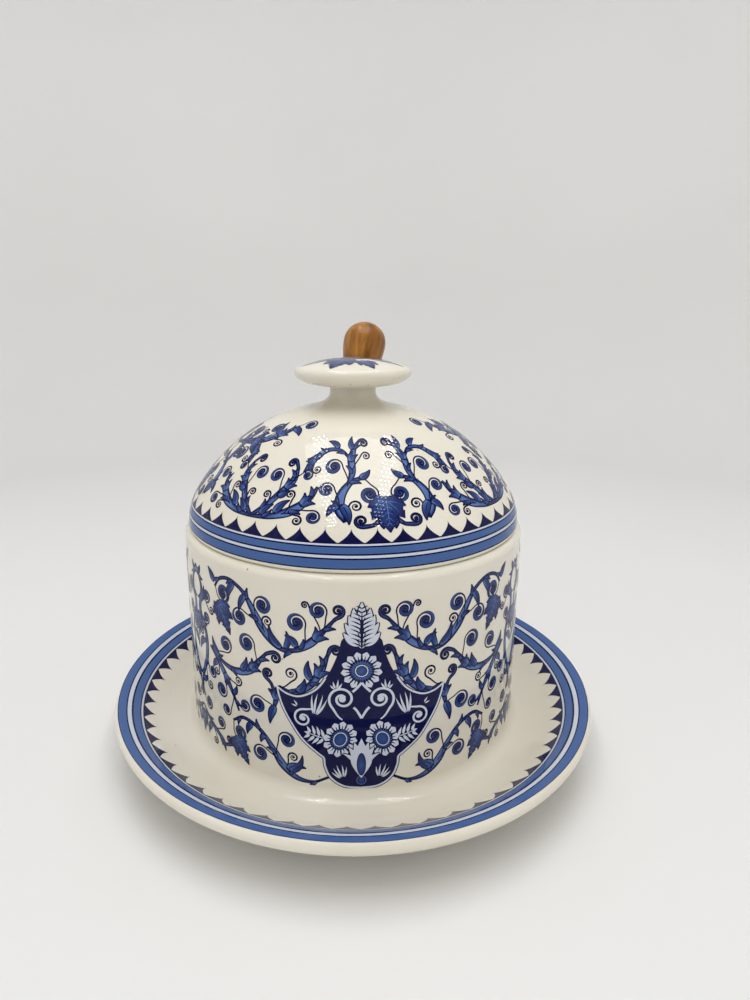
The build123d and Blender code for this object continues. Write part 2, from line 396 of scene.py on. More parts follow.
def ribbon(path, ink, layer, shade=None, columns=4):
    """A stroke along a path of (across, up, half width) rows.

    A shade that is a function takes the share along the stroke, the place across it from -1 to 1 and the
    half width.
    """
    along = np.linspace(0, 1, len(path))[:, None]
    across = np.linspace(-1, 1, columns + 1)[None, :]
    direction = tangents(path)
    normal = np.stack([-direction[:, 1], direction[:, 0]], axis=1)
    points = path[:, None, :2] + normal[:, None, :] * (path[:, 2:3] * across)[..., None]
    return Print(ink, layer, points, lit(points, shade, along, across, path[:, 2:3]))


def swelling(along, across, half_width):
    """Light where a stem is thick, dark where it is thin and along its edges."""
    return np.clip(half_width / 0.95, 0, 1) * (1.0 - 0.72 * (across - 0.25)**2)


def stem(path, layer, edge=OUTLINE):
    """A printed stem: a dark outline with a blue body wherever it is thick enough to show one."""
    prints = [ribbon(widened(path, edge), "navy", layer, columns=2)]
    thick = path[:, 2] > BODY_FROM
    start = None
    for i, inside in enumerate(np.append(thick, False)):
        if inside and start is None:
            start = i
        if not inside and start is not None:
            if i - start > 3:
                body = widened(path[start:i], -edge)
                body[[0, -1], 2] = THINNEST
                prints.append(ribbon(body, "blue", layer + 0.5, swelling))
            start = None
    return prints


def disc(centre, radius, ink, layer, shade=None, squash=1.0, tilt=0.0, sides=24, rings=4):
    """A round or oval spot, tilted by degrees. A shade that is a function takes the share of the radius."""
    radii = np.linspace(THINNEST, radius, rings + 1)[:, None]
    angles = np.linspace(0, 2 * math.pi, sides + 1)[None, :]
    x, y = radii * np.cos(angles) * squash, radii * np.sin(angles)
    turn = math.radians(tilt)
    points = np.stack([centre[0] + x * math.cos(turn) - y * math.sin(turn),
                       centre[1] + x * math.sin(turn) + y * math.cos(turn)], axis=2)
    return Print(ink, layer, points, lit(points, shade, radii / radius))


def winding(centre, start_angle, sense, radius, end_radius, turns, step=0.35):
    """Points that wind in towards centre."""
    length = 2 * math.pi * turns * (radius + end_radius) / 2
    t = np.linspace(0, 1, max(10, int(length / step)))
    angles = start_angle + sense * 2 * math.pi * turns * t
    radii = radius + (end_radius - radius) * t**0.9
    return np.stack([centre[0] + radii * np.cos(angles), centre[1] + radii * np.sin(angles)], axis=1)


def tendril(vine, centre, radius, end_radius, turns):
    """Leaves a vine the smoothest way, runs on to a circle round centre and winds in.

    Returns the run up to the circle, the coil inside it, and the angle and sense in which the coil ends.
    """
    centre = np.array(centre, float)
    best = None
    for root, heading in zip(vine[:, :2], tangents(vine)):
        gap = root - centre
        distance = np.linalg.norm(gap)
        if distance < 1.08 * radius:
            continue
        for sense in (1, -1):
            angle = math.atan2(gap[1], gap[0]) + sense * math.acos(radius / distance)
            touch = centre + radius * np.array([math.cos(angle), math.sin(angle)])
            run = touch - root
            length = max(np.linalg.norm(run), 1e-6)
            cost = 1.5 * (1 - run @ heading / length) + 0.16 * length / radius
            if best is None or cost < best[0]:
                best = (cost, root, heading, angle, sense, touch, length)
    _, root, heading, angle, sense, touch, length = best
    arrive = sense * np.array([-math.sin(angle), math.cos(angle)])
    run_in = bezier(root, root + heading * 0.4 * length, touch - arrive * 0.4 * length, touch,
                    steps=max(3, int(length / FINE)))
    coil = winding(centre, angle, sense, radius, end_radius, turns)
    return np.array(run_in)[:-1], coil, angle + sense * 2 * math.pi * turns, sense


def with_widths(path, widths):
    """Adds half widths, given at even stations along the path."""
    stations = np.linspace(0, 1, len(widths))
    return np.column_stack([path, np.interp(np.linspace(0, 1, len(path)), stations, widths)])


def head(vine, centre, radius, layer=1):
    """A full scroll: a fine stalk that swells as it winds in, and ends in a dark eye with a light swirl."""
    run_in, coil, angle, sense = tendril(vine, centre, 0.90 * radius, 0.26 * radius, 1.5)
    stalk = with_widths(run_in, [0.17, 0.20])
    swell = [0.20, 0.24, 0.16 * radius, 0.21 * radius, 0.24 * radius, 0.22 * radius, 0.19 * radius,
             0.15 * radius, 0.12 * radius]
    coil = with_widths(coil, swell)
    prints = [ribbon(np.vstack([stalk, coil]), "navy", layer, columns=2)]
    body = widened(coil[len(coil) // 8:], -0.19)
    prints.append(ribbon(body, "blue", layer + 0.5,
                         lambda t, x, w: (0.56 - 0.60 * t) * (0.8 - 0.4 * sense * x)))
    prints.append(disc(centre, 0.36 * radius, "navy", layer + 0.6, sides=16, rings=1))
    swirl = winding(centre, angle + math.pi, sense, 0.30 * radius, 0.08 * radius, 1.0)
    line = with_widths(swirl, [0.03, 0.07, 0.08, 0.03])
    prints.append(ribbon(line, "blue", layer + 1.0, 0.5, columns=1))
    return prints


def curl(vine, centre, radius, layer=1):
    """An open scroll drawn with one line that ends in a dot."""
    run_in, coil, _, _ = tendril(vine, centre, radius, 0.2 * radius, 1.6)
    path = np.vstack([with_widths(run_in, [0.15, 0.23]),
                      with_widths(coil, [0.23, 0.29, 0.23, 0.15, 0.12, 0.10])])
    dot = disc(centre, 0.2 * radius + 0.06, "navy", layer + 0.4, sides=12, rings=1)
    return [ribbon(path, "navy", layer, columns=2), dot]


def flourish(vine, centre, radius, layer=1):
    """The scroll in which a vine ends: it keeps the vine's body and thins out as it winds in to a dot."""
    run_in, coil, _, _ = tendril(vine, centre, radius, 0.2 * radius, 1.5)
    path = np.vstack([with_widths(run_in, [0.34, 0.46]),
                      with_widths(coil, [0.42, 0.28, 0.20, 0.15, 0.12, 0.10])])
    return stem(path, layer) + [disc(centre, 0.2 * radius + 0.08, "navy", layer + 0.8, sides=12, rings=1)]


def blade(root, tip, width, bend=0.0, teeth=0, fullness=0.66, step=FINE):
    """The path of a leaf from root to tip, bent to one side, with toothed edges if teeth is more than 0."""
    root, tip = np.array(root, float), np.array(tip, float)
    axis = tip - root
    length = float(np.linalg.norm(axis))
    side = np.array([-axis[1], axis[0]])
    rows = max(8, int(length / step), teeth * 6)
    t = np.linspace(0, 1, rows + 1)[:, None]
    middle = (root + tip) / 2 + side * bend
    points = root * (1 - t)**2 + 2 * middle * t * (1 - t) + tip * t**2
    t = t[:, 0]
    widths = 0.5 * width * np.sin(math.pi * t**fullness)**0.95
    if teeth:
        saw = (t * teeth) % 1.0
        widths = widths * (1.16 - 0.5 * saw)
    widths = np.maximum(np.nan_to_num(widths), THINNEST)
    return np.column_stack([points, widths])


def petal(root, tip, width, bend=0.0, ink="pale", layer=6, shade=None, columns=2, fullness=0.66, step=0.3):
    """A blade drawn in one ink."""
    return ribbon(blade(root, tip, width, bend, fullness=fullness, step=step), ink, layer, shade, columns)


def vein(root, tip, width, bend, layer, first, last):
    """A light vein on a blue leaf, from its lightness at the root to that at the tip."""
    return petal(root, tip, width, bend, "blue", layer,
                 lambda t, x, w: first - (first - last) * t, columns=1, step=FINE)


def leaf(root, tip, width, bend=0.0, teeth=0, layer=2, light=0.7, vein=True):
    """A printed leaf or bud: dark outline, blue body that lightens to one side, and a dark vein."""
    path = blade(root, tip, width, bend, teeth)
    prints = [
        ribbon(widened(path, OUTLINE), "navy", layer, columns=2),
        ribbon(widened(path[1:-1], -0.10), "blue", layer + 0.5,
               lambda t, x, w: light * (1.0 - 0.95 * t) * (0.75 - 0.45 * x)),
    ]
    if vein and width > 1.6:
        line = path[2:-3].copy()
        line[:, 2] = np.linspace(0.12, 0.04, len(line))
        prints.append(ribbon(line, "navy", layer + 1.0, columns=1))
    return prints


def sheath(path, share, size, layer=2):
    """Three pointed lobes that open round a vine where it swells, at a share of its length."""
    i = int(share * (len(path) - 1))
    root = path[i, :2]
    ahead = tangents(path)[i]
    aside = np.array([-ahead[1], ahead[0]])
    prints = []
    for side, reach, spread in ((1, 0.66, 0.80), (-1, 0.66, 0.80), (1, 1.05, 0.10)):
        start = root + aside * side * 0.25 * path[i, 2] - ahead * 0.45 * size
        tip = root + (ahead * reach + aside * side * spread) * size
        prints += leaf(start, tip, 0.50 * size, -0.30 * side, layer=layer, light=0.9, vein=False)
        layer += 0.2
    return prints


def hooks(path, spacing=6.5, size=3.0):
    """Slender hooked leaves that leave a vine on either side by turns."""
    count = int(FINE * len(path) / spacing)
    directions = tangents(path)
    prints = []
    for i in range(count):
        place = int((i + 0.6) / count * (len(path) - 1))
        ahead = directions[place]
        side = 1 if i % 2 else -1
        aside = side * np.array([-ahead[1], ahead[0]])
        start = path[place, :2] - 0.25 * size * ahead
        tip = path[place, :2] + size * (0.62 * ahead + 0.66 * aside)
        prints += leaf(start, tip, 0.36 * size, -0.26 * side, layer=0.9, light=0.6, vein=False)
    return prints


def maple(root, tip, width, layer=3):
    """A broad vine leaf: a toothed middle lobe over two pairs of side lobes, with light veins."""
    root, tip = np.array(root, float), np.array(tip, float)
    axis = tip - root
    side = np.array([-axis[1], axis[0]])
    length = float(np.linalg.norm(axis))
    prints = []
    for turn in (1, -1):
        for reach, spread, size, teeth in ((0.16, 0.42, 0.34, 3), (0.50, 0.34, 0.36, 4)):
            start = root + axis * 0.14
            end = start + axis * reach + side * spread * turn * width
            prints += leaf(start, end, size * length * width, 0.1 * turn, teeth, layer, 0.5, vein=False)
            layer += 0.05
            prints.append(vein(start, start + 0.8 * (end - start), 0.16, 0.1 * turn, layer + 1.2, 0.9, 0.4))
    prints += leaf(root, tip, 0.50 * length * width, 0, 6, layer, 0.5, vein=False)
    prints.append(vein(root + axis * 0.08, tip - axis * 0.12, 0.24, 0.0, layer + 1.3, 0.95, 0.45))
    for turn in (1, -1):
        for share in (0.3, 0.45, 0.6, 0.74):
            start = root + axis * share
            end = start + axis * 0.13 + side * turn * width * 0.16 * (1.2 - share)
            prints.append(vein(start, end, 0.15, 0.1 * turn, layer + 1.3, 0.8, 0.4))
    return prints


# ---------------------------------------------------------------- vines of the pattern
# One vine: its (across, up, half width) points in the order of growth, full scrolls and fine curls that
# leave it, the scroll that ends it, its leaves as (root, tip, width, bend), and its sheaths as (share of
# the length, size).
Vine = namedtuple("Vine", "points heads curls end leaves sheaths")


def grow(vines, boldness=1.0):
    """All the prints of a list of vines, with their stems drawn broader by boldness."""
    prints = []
    for vine in vines:
        path = spline(vine.points)
        path[:, 2] *= boldness
        prints += stem(path, 0) + hooks(path)
        for across, up, radius in vine.heads:
            prints += head(path, (across, up), radius)
        for across, up, radius in vine.curls:
            prints += curl(path, (across, up), radius)
        if vine.end:
            across, up, radius, full = vine.end
            draw = head if full else flourish
            prints += draw(path[-3:], (across, up), radius)
        for root, tip, width, bend in vine.leaves:
            prints += leaf(root, tip, width, bend)
        for share, size in vine.sheaths:
            prints += sheath(path, share, size)
    return prints


POT_VINES = [
    Vine([(19.6, 51.0, 0.3), (16.4, 51.4, 0.6), (12.6, 54.0, 1.05), (9.4, 57.4, 0.55), (7.0, 60.2, 0.3)],
         [(10.9, 62.7, 2.6), (16.6, 58.9, 2.9)], [(14.2, 63.9, 1.0)], (5.9, 62.9, 1.6, False),
         [((16.6, 51.8), (19.8, 55.0), 1.9, 0.3)], [(0.62, 3.0)]),
    Vine([(15.4, 51.7, 0.2), (19.0, 50.6, 0.45), (22.8, 52.0, 0.75), (26.4, 55.8, 1.15), (29.2, 60.4, 0.9),
          (32.2, 64.4, 0.5), (36.8, 66.6, 0.4), (41.0, 65.8, 0.35), (43.4, 62.9, 0.2)],
         [(26.0, 62.0, 2.9), (33.8, 57.0, 2.9)], [(24.7, 57.8, 1.6)], (39.8, 61.9, 3.1, True),
         [((20.4, 51.2), (24.2, 57.2), 1.9, -0.34), ((20.0, 51.0), (19.4, 56.2), 1.5, 0.3),
          ((31.2, 63.8), (33.8, 58.4), 1.7, 0.2), ((35.0, 66.0), (37.8, 60.2), 1.9, 0.3),
          ((43.6, 64.0), (46.4, 67.8), 2.0, 0.1)], []),
    Vine([(46.6, 44.2, 0.25), (41.0, 41.3, 0.5), (35.4, 40.7, 0.9), (30.6, 42.7, 1.1), (27.4, 46.2, 0.6),
          (25.2, 48.9, 0.25)],
         [(31.6, 50.2, 3.0), (39.6, 47.2, 2.8)], [], (22.7, 48.0, 1.7, False),
         [((34.2, 41.4), (31.8, 46.0), 1.9, 0.25), ((42.6, 42.4), (46.0, 47.4), 2.0, -0.25)], [(0.72, 2.8)]),
    Vine([(21.8, 40.2, 0.2), (17.6, 39.1, 0.5), (13.4, 41.6, 0.8), (10.4, 46.2, 0.9), (8.6, 50.6, 0.35)],
         [], [(18.4, 44.4, 1.9)], (6.5, 52.0, 1.5, False),
         [((12.8, 43.2), (13.5, 48.8), 1.9, -0.25), ((17.0, 39.4), (14.6, 43.6), 2.0, 0.3)], [(0.72, 3.1)]),
    Vine([(23.6, 33.0, 0.25), (22.8, 36.8, 0.7), (24.0, 40.4, 0.3)],
         [(28.6, 33.2, 3.0)], [], (24.9, 43.2, 1.5, False),
         [((22.9, 34.4), (24.8, 28.4), 2.1, 0.15)], [(0.55, 2.6)]),
    Vine([(54.6, 66.0, 0.2), (51.4, 60.0, 0.6), (53.0, 53.0, 0.8), (49.6, 46.4, 0.7), (50.0, 39.0, 0.8),
          (53.4, 32.0, 0.6), (54.5, 25.0, 0.3)],
         [(48.2, 58.4, 2.3), (49.0, 51.6, 2.1), (50.2, 24.6, 2.4), (46.8, 36.0, 2.2)],
         [(45.9, 55.0, 1.3), (52.6, 46.6, 1.3), (48.6, 31.2, 1.6)], None,
         [((52.4, 56.0), (49.8, 61.0), 1.8, 0.3), ((50.6, 44.6), (54.0, 40.4), 2.0, 0.3),
          ((53.6, 31.2), (50.2, 33.2), 1.7, 0.3), ((54.5, 63.6), (51.6, 66.4), 1.8, 0.3)], [(0.42, 2.4)]),
    Vine([(47.4, 44.0, 0.25), (43.4, 41.0, 0.7), (40.0, 37.0, 0.9), (37.2, 32.6, 0.45), (35.4, 28.6, 0.25)],
         [(42.4, 32.4, 2.6), (33.0, 31.2, 2.1), (40.6, 27.0, 2.0)],
         [(35.2, 37.8, 1.5), (44.4, 37.4, 1.3)], None,
         [((43.4, 40.6), (46.2, 37.8), 1.8, 0.3), ((37.4, 33.0), (35.8, 36.2), 1.4, 0.2)], [(0.5, 2.3)]),
    Vine([(8.6, 15.4, 0.2), (12.8, 13.5, 0.3), (17.4, 14.0, 0.7), (21.4, 17.1, 1.15), (24.2, 21.2, 0.8),
          (28.2, 25.6, 0.5), (33.6, 27.2, 0.4), (38.0, 24.8, 0.2)],
         [(19.9, 24.8, 2.7), (28.2, 18.5, 2.8)], [(18.2, 19.9, 1.5)], (35.4, 21.9, 2.8, True),
         [((20.2, 15.8), (14.6, 17.2), 2.1, -0.3), ((19.6, 15.4), (15.6, 21.0), 1.8, 0.34),
          ((26.6, 24.6), (28.0, 21.8), 1.5, 0.2), ((30.4, 26.6), (32.6, 22.6), 1.8, 0.3)], []),
    Vine([(54.5, 22.0, 0.2), (50.0, 19.0, 0.6), (45.6, 17.2, 0.7), (41.6, 15.0, 0.25)],
         [(43.6, 21.4, 2.2)], [(47.2, 14.0, 1.3)], (40.2, 17.4, 1.4, False),
         [((48.8, 18.4), (51.4, 14.0), 1.9, 0.25), ((45.0, 17.0), (42.0, 12.9), 1.9, -0.25)], []),
]
# broad leaves between the vines, each (root, tip, width)
POT_LEAVES = [
    ((42.2, 59.4), (37.4, 50.6), 1.0),
    ((37.4, 20.2), (32.4, 12.9), 1.0),
    ((54.6, 20.4), (54.6, 12.9), 0.9),
    ((54.6, 52.0), (54.6, 44.0), 0.8),
]

# the printed cartouche at the front of each repeat: its upper and lower edges, from the middle outwards
CARTOUCHE_TOP = [(0, 56.4), (4.6, 55.6), (6.0, 51.2), (8.0, 46.4), (11.4, 41.2), (15.8, 38.5), (19.4, 38.6),
                 (22.3, 40.0)]
CARTOUCHE_LOW = [(0, 12.6), (4.6, 13.1), (8.0, 15.4), (9.5, 18.8), (9.8, 21.2), (11.4, 22.5), (15.8, 26.4),
                 (20.0, 33.0), (21.6, 37.0), (22.3, 40.0)]
CARTOUCHE_REACH = 22.1
BORDER_START = 9.0


def cartouche():
    """The right half of a dark shield with a pale border."""
    top, low = [spline([(*point, 0) for point in edge]) for edge in (CARTOUCHE_TOP, CARTOUCHE_LOW)]
    across = np.linspace(0, CARTOUCHE_REACH, 40)[:, None]
    t = np.linspace(0, 1, 30)[None, :]
    upper = np.interp(across, top[:, 0], top[:, 1])
    lower = np.interp(across, low[:, 0], low[:, 1])
    points = np.stack([across + 0 * t, lower + (upper - lower) * t], axis=2)
    prints = [Print("navy", 4, points, np.zeros(points.shape[:2]))]
    for edge in (top[top[:, 0] > BORDER_START], low):
        for half_width, ink_name, layer in ((0.5, "navy", 4.5), (0.25, "pale", 5)):
            line = np.column_stack([edge[:, :2], np.full(len(edge), half_width)])
            prints.append(ribbon(line, ink_name, layer, columns=2))
    return prints


def flower(centre, radius, petals, squash=1.0, tilt=0.0, eye=0.32, missing=()):
    """A daisy in the cartouche: pale petals round a dark ring with a blue fringe and a blue eye."""
    turn = math.radians(tilt)

    def place(distance, angle):
        x, y = distance * math.cos(angle) * squash, distance * math.sin(angle)
        return (centre[0] + x * math.cos(turn) - y * math.sin(turn),
                centre[1] + x * math.sin(turn) + y * math.cos(turn))

    prints = []
    for i in set(range(petals)) - set(missing):
        angle = 2 * math.pi * (i + 0.5) / petals + math.pi / 2
        prints.append(petal(place(0.50 * radius, angle), place(radius, angle),
                            1.52 * math.pi * radius / petals, columns=4, fullness=1.25, step=0.25))
        gap = angle + math.pi / petals
        for reach, width, turned in ((0.80, 0.30, angle), (1.02, 0.46, gap)):
            prints.append(petal(place(0.5 * radius, turned), place(reach * radius, turned), width,
                                ink="navy", layer=6.4, columns=1, fullness=0.8))
    prints.append(disc(centre, 0.60 * radius, "navy", 6.6, squash=squash, tilt=tilt))
    for i in range(2 * petals):
        angle = math.pi * i / petals
        prints.append(petal(place(0.34 * radius, angle), place(0.60 * radius, angle), 0.46,
                            ink="blue", layer=7, shade=lambda t, x, w: 0.62 - 0.3 * t, columns=1))
    prints.append(disc(centre, eye * radius, "pale", 7.4, squash=squash, tilt=tilt, rings=1))
    prints.append(disc(centre, (eye - 0.05) * radius, "navy", 7.6, squash=squash, tilt=tilt, rings=1))
    prints.append(disc(centre, (eye - 0.09) * radius, "blue", 7.8, lambda r: 0.50 - 0.12 * r,
                       squash=squash, tilt=tilt, rings=2))
    return prints


def pale_line(points, width=0.26):
    """A fine pale line in the cartouche."""
    path = spline([(u, v, width) for u, v in points])
    return [ribbon(path, "pale", 6.8, columns=1)]


def pale_scroll(root, towards, centre, radius, turns=1.4, width=0.27):
    """A pale scroll in the cartouche that sets out from root towards a point."""
    start = np.array([(*root, width), (*towards, width)], float)
    start[1] = start[0] + 0.05 * (start[1] - start[0])
    run_in, coil, _, _ = tendril(start, centre, radius, 0.22 * radius, turns)
    path = np.vstack([with_widths(run_in, [0.6 * width, width]), with_widths(coil, [width, width])])
    dot = disc(centre, 0.22 * radius + 0.1, "pale", 6.3, sides=16, rings=1)
    return [ribbon(path, "pale", 6, columns=2), dot]


def tuft(root, heading, size, angles, width=0.52):
    """Slender pale blades that fan out side by side in the cartouche."""
    prints = []
    for angle in angles:
        turn = math.radians(heading + angle)
        way = np.array([math.cos(turn), math.sin(turn)])
        start = np.array(root) + 0.22 * size * way
        tip = np.array(root) + size * (1 - 0.006 * abs(angle)) * way
        prints.append(petal(start, tip, width, 0.08 * np.sign(angle)))
    return prints


def fern(root, tip, pairs, width):
    """A pale frond in the cartouche: a midrib with pairs of leaflets."""
    root, tip = np.array(root, float), np.array(tip, float)
    axis = tip - root
    side = np.array([-axis[1], axis[0]])
    prints = [petal(root, tip, 0.3, columns=1), petal(root + 0.75 * axis, tip, 0.8)]
    for i in range(pairs):
        share = (i + 0.2) / pairs
        for turn in (1, -1):
            start = root + axis * share * 0.9 + side * turn * 0.04
            end = start + axis * 0.24 + side * turn * width * math.sin(math.pi * (0.3 + 0.6 * share))
            prints.append(petal(start, end, 0.80, 0.08 * turn))
    return prints


# the crest leaf over the cartouche: the tips of its lobes, upwards, and the foot and top of its midrib
CREST_TIPS = [(4.6, 57.2), (4.2, 59.8), (3.2, 61.9), (2.0, 63.8)]
CREST_FOOT = 52.8
CREST_TOP = 65.4
CREST_VEINS = 10


def crest_leaf():
    """The pale leaf over the cartouche: pointed lobes with dark outlines, a dark midrib and comb veins."""
    shapes = [((0, CREST_FOOT), (0, CREST_TOP - 1.2), 4.6, 0.0),
              ((0, CREST_TOP - 5.0), (0, CREST_TOP), 1.9, 0.0)]
    for across, up in CREST_TIPS:
        start = CREST_FOOT + 0.70 * (up - 56.0)
        for side in (1, -1):
            shapes.append(((0.5 * side, start), (side * across, up), 1.9, -0.16 * side))
    prints = []
    for i, (root, tip, width, bend) in enumerate(shapes):
        path = blade(root, tip, width, bend, fullness=0.8, step=0.3)
        prints.append(ribbon(widened(path, 0.30), "navy", 5.2, columns=2))
        prints.append(ribbon(path, "pale", 5.4 + 0.04 * i, columns=2))
    rise = CREST_TOP - CREST_FOOT
    for i in range(CREST_VEINS):
        share = (i + 0.4) / (CREST_VEINS + 1)
        start = CREST_FOOT + share * rise
        reach = 3.0 * math.sin(math.pi * (0.30 + 0.62 * share))
        for side in (1, -1):
            prints.append(petal((0, start), (side * reach, start + 0.50 * reach), 0.42, 0.12 * side,
                                ink="navy", columns=1))
    prints.append(ribbon(blade((0, CREST_FOOT - 0.3), (0, CREST_TOP - 1.6), 0.70), "navy", 6.1, columns=2))
    return prints


# the petals of the tulip at the cartouche's foot, each (tip, width, bend), from the side to the middle
TULIP_PETALS = [((4.9, 22.9), 1.5, -0.30), ((3.4, 24.9), 2.2, -0.14), ((1.9, 26.3), 2.6, -0.06),
                ((0.0, 27.4), 3.2, 0.0)]


def cartouche_middle():
    """What stands on the cartouche's own axis, drawn whole: crest leaf, daisy, tulip and button."""
    prints = crest_leaf()
    prints += flower((0, 46.7), 5.3, 13, missing=(6,))
    for i, ((across, up), width, bend) in enumerate(TULIP_PETALS):
        for side in (1, -1) if across else (1,):
            path = blade((0, 16.6), (side * across, up), width, -side * bend, fullness=0.9, step=0.3)
            prints.append(ribbon(widened(path, 0.28), "navy", 7.9, columns=2))
            prints.append(ribbon(path, "pale", 8 + 0.10 * i + 0.04 * side, columns=4))
    prints.append(petal((0, 15.6), (0, 26.2), 5.6, layer=8.5, columns=4, fullness=1.1))
    heart, button = (0, 19.7), (0, 14.9)
    prints.append(disc(heart, 3.4, "navy", 8.8, squash=0.36))
    prints.append(disc(heart, 3.0, "blue", 9.1, lambda r: 0.44 - 0.25 * r, squash=0.36))
    prints.append(disc(button, 1.35, "blue", 8, 0.55, rings=1))
    prints.append(disc(button, 1.05, "navy", 8.2, rings=1))
    prints.append(disc(button, 0.75, "blue", 8.4, 0.3, rings=1))
    return prints


def cartouche_sides():
    """What the cartouche holds beside its axis, as its right half."""
    prints = []
    prints += pale_line([(0.0, 43.4), (0.7, 42.5), (1.5, 41.6), (2.3, 40.8)], 0.32)
    prints += pale_line([(0.0, 33.3), (0.6, 34.4), (1.3, 35.6), (2.0, 36.4)], 0.32)
    prints += pale_scroll((4.9, 32.8), (8.2, 34.8), (4.9, 38.7), 3.6, turns=1.5, width=0.32)
    prints += pale_scroll((12.2, 34.8), (14.0, 36.6), (15.2, 32.2), 2.7, turns=1.35, width=0.28)
    prints += flower((5.5, 27.0), 5.4, 12, squash=0.80, tilt=22, eye=0.40)
    prints += fern((9.6, 27.0), (14.9, 28.4), 4, 0.46)
    prints += tuft((12.4, 32.2), 104, 8.0, (-16, -5, 5, 16), 0.60)
    prints += tuft((6.4, 41.0), 96, 3.2, (-52, -24, 2, 28), 0.50)
    prints += tuft((16.4, 35.4), 40, 2.3, (-24, 14), 0.45)
    prints += tuft((4.6, 14.8), 72, 5.0, (-36, -20, -4, 12, 28), 0.48)
    return prints


LID_SPAN = 42.0
LID_VINES = [
    Vine([(9.8, 11.8, 0.2), (11.2, 15.0, 0.9), (11.0, 19.0, 0.9), (8.8, 22.6, 0.6), (5.6, 24.2, 0.35)],
         [(14.9, 20.6, 2.3)], [(7.4, 16.0, 1.6)], (3.9, 19.2, 2.8, True),
         [((11.0, 16.6), (8.9, 11.2), 2.2, -0.2), ((11.2, 16.4), (14.0, 13.2), 1.8, 0.3),
          ((6.6, 24.0), (3.2, 26.6), 1.9, 0.25)], []),
    Vine([(9.6, 21.6, 0.25), (8.3, 25.6, 0.7), (8.6, 30.2, 0.9), (7.6, 34.2, 0.6), (6.0, 36.8, 0.3)],
         [(13.8, 27.6, 2.9)], [(3.9, 31.2, 1.5)], (4.2, 36.0, 1.7, False),
         [((8.0, 33.4), (8.4, 38.8), 2.0, -0.25)], [(0.55, 2.6)]),
    Vine([(8.4, 29.4, 0.2), (11.8, 33.0, 0.4), (16.6, 33.2, 0.6), (20.4, 29.6, 0.9), (22.2, 25.2, 0.25)],
         [], [(18.6, 26.4, 1.4)], None,
         [((12.8, 34.0), (17.4, 36.6), 2.0, 0.25), ((18.8, 32.0), (22.8, 29.6), 1.8, -0.3)], [(0.8, 2.2)]),
    Vine([(33.0, 11.2, 0.25), (27.4, 12.0, 0.6), (22.4, 14.2, 1.0), (18.8, 17.8, 0.6), (17.2, 21.2, 0.25)],
         [(17.2, 12.8, 2.0)], [(20.9, 11.6, 1.3), (24.0, 18.4, 1.3)], None,
         [((26.8, 12.6), (23.6, 16.8), 2.0, -0.25), ((30.6, 11.8), (27.6, 15.2), 1.7, -0.2)], [(0.72, 2.8)]),
    Vine([(33.0, 11.4, 0.25), (29.8, 14.4, 0.6), (27.2, 18.2, 0.7), (24.6, 22.4, 0.8), (24.4, 26.6, 0.3)],
         [(30.2, 23.6, 2.5), (20.8, 24.4, 1.8)], [(30.6, 17.6, 1.2)], (27.0, 27.8, 1.5, False),
         [((27.6, 17.6), (24.6, 19.6), 1.6, 0.25)], [(0.68, 2.5)]),
]
# sprays on the upper part of the lid's two sides, at a tighter span
SPRAY_SPAN = 28.0
SPRAY_VINES = [
    Vine([(0.0, 29.6, 0.4), (4.4, 31.4, 0.8), (9.0, 32.6, 1.0), (13.4, 34.6, 1.0), (17.0, 38.2, 0.9),
          (20.0, 42.2, 0.4)],
         [(12.0, 39.6, 2.8), (7.2, 27.2, 2.4), (3.2, 36.4, 2.4)],
         [(8.4, 37.0, 1.4), (18.2, 33.8, 1.5), (12.8, 29.6, 1.4), (0.9, 24.6, 1.4)],
         (23.8, 43.4, 2.6, True),
         [((10.0, 33.4), (13.6, 28.6), 2.3, -0.25), ((4.6, 31.6), (1.2, 35.2), 2.2, 0.25),
          ((18.6, 41.0), (22.8, 37.8), 2.2, 0.3), ((15.6, 37.0), (13.4, 43.2), 2.2, 0.25)],
         [(0.45, 2.8), (0.78, 2.8)]),
]


# ---------------------------------------------------------------- wrapping prints on the ware
# how far the lowest prints stand off the glaze, and each layer off the one below
LIFT = 0.02
LAYER_LIFT = 0.014
BAND_STEP = 0.8
BAND_SHADE = 1.06


class Turned:
    """A turned surface that prints lie on: (radius, height) points, measured by length along them."""

    def __init__(self, points, start=0.0):
        self.points = np.array(without_repeats(points))
        self.length = start + np.append(0, np.cumsum(np.hypot(*np.diff(self.points, axis=0).T)))
        slope = np.gradient(self.points, self.length, axis=0)
        slope /= np.linalg.norm(slope, axis=1, keepdims=True)
        self.normals = np.column_stack([slope[:, 1], -slope[:, 0]])

    def along_at(self, radius):
        """The length at which the surface, which runs inwards, has a radius."""
        return np.interp(radius, self.points[::-1, 0], self.length[::-1])

    def place(self, azimuth, along, layer):
        """Positions in millimetres, lifted off the glaze by their layer, and outward normals."""
        lift = LIFT + LAYER_LIFT * layer
        radius, height = [np.interp(along, self.length, self.points[:, i]) for i in (0, 1)]
        across, up = [np.interp(along, self.length, self.normals[:, i]) for i in (0, 1)]
        size = np.hypot(across, up)
        across, up = across / size, up / size
        radius, height = radius + across * lift, height + up * lift
        turn = np.stack([np.sin(azimuth), -np.cos(azimuth)], axis=-1)
        return (np.concatenate([turn * radius[..., None], height[..., None]], axis=-1),
                np.concatenate([turn * across[..., None], up[..., None]], axis=-1))


def wrapped(surface, chart, prints, turns=(0.0,), mirrored=True):
    """Prints wrapped on a surface at each turn, in degrees. A chart gives azimuth and length along it."""
    sheets = {ink: [] for ink in INKS}
    for item in prints:
        for turn in turns:
            for side in (1, -1) if mirrored else (1,):
                azimuth, along = chart(item.points)
                places, normals = surface.place(math.radians(turn) + side * azimuth, along, item.layer)
                sheets[item.ink].append((places, normals, item.shade))
    return sheets


